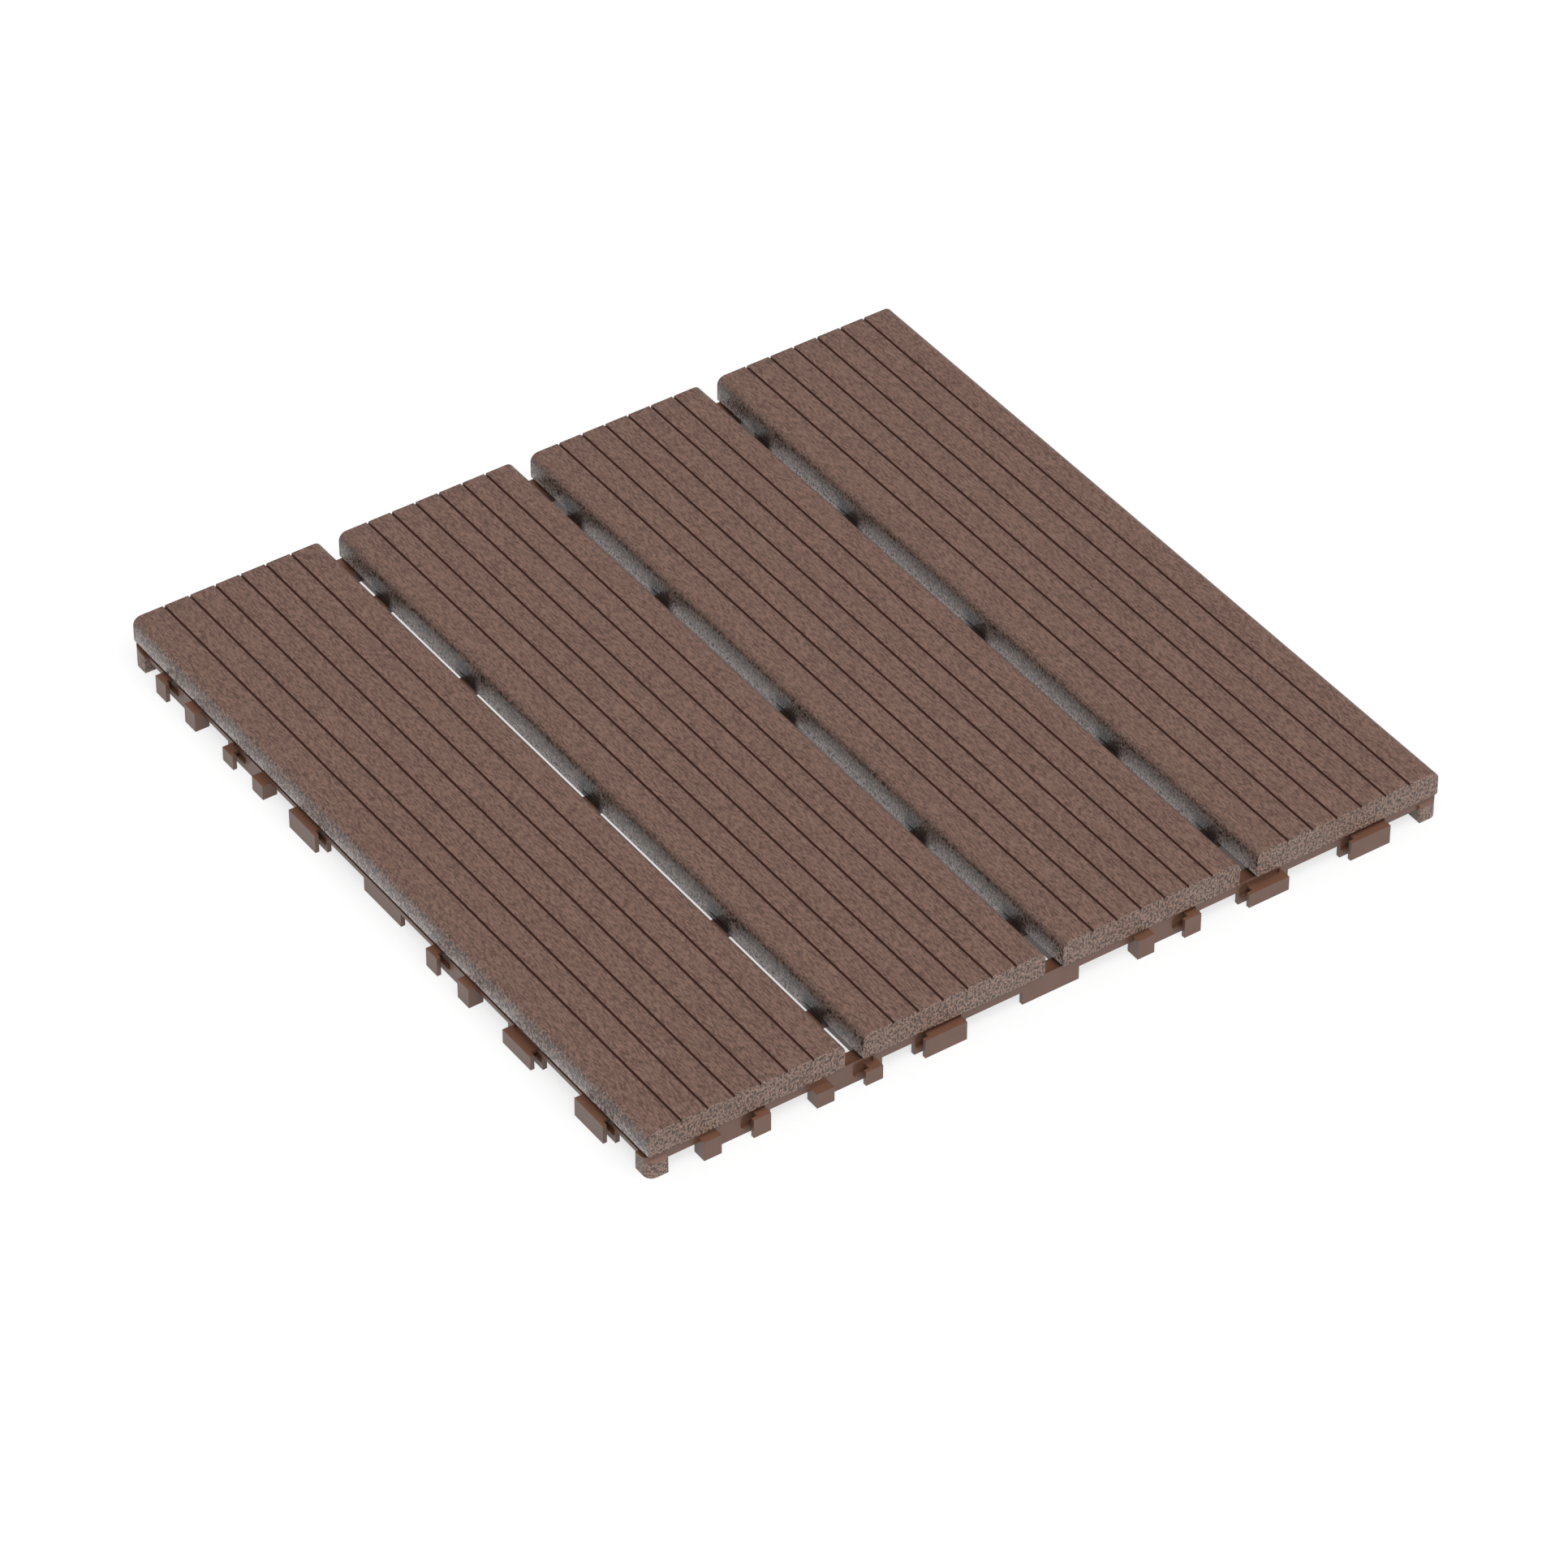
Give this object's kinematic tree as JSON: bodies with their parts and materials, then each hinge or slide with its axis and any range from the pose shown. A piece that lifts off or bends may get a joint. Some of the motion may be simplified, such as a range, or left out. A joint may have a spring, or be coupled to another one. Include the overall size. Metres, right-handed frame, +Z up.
{
  "type": "interlocking deck tile",
  "caption": "Square outdoor deck tile of grooved composite slats on a moulded base whose edges click onto neighbouring tiles.",
  "frame": {"origin": "on the ground, below the centre of the four slats", "axes": "+X across the slats, +Y along the slats away from the front edge, +Z up through the tread; clips stand out at -X and -Y, receiving rails at +X and +Y"},
  "size_m": [0.3064, 0.3064, 0.0182],
  "materials": {
    "base_plastic": "moulded brown polypropylene, smooth on top and lightly grained below",
    "composite": "brushed wood-plastic composite, brown, with fine dark grain along the slat",
    "screw_steel": "zinc-plated, satin"
  },
  "bodies": {
    "root": {"base_grid": "base_plastic", "slat_1": "composite", "slat_2": "composite", "slat_3": "composite", "slat_4": "composite", "fixing_screws": "screw_steel"}
  },
  "joints": []
}
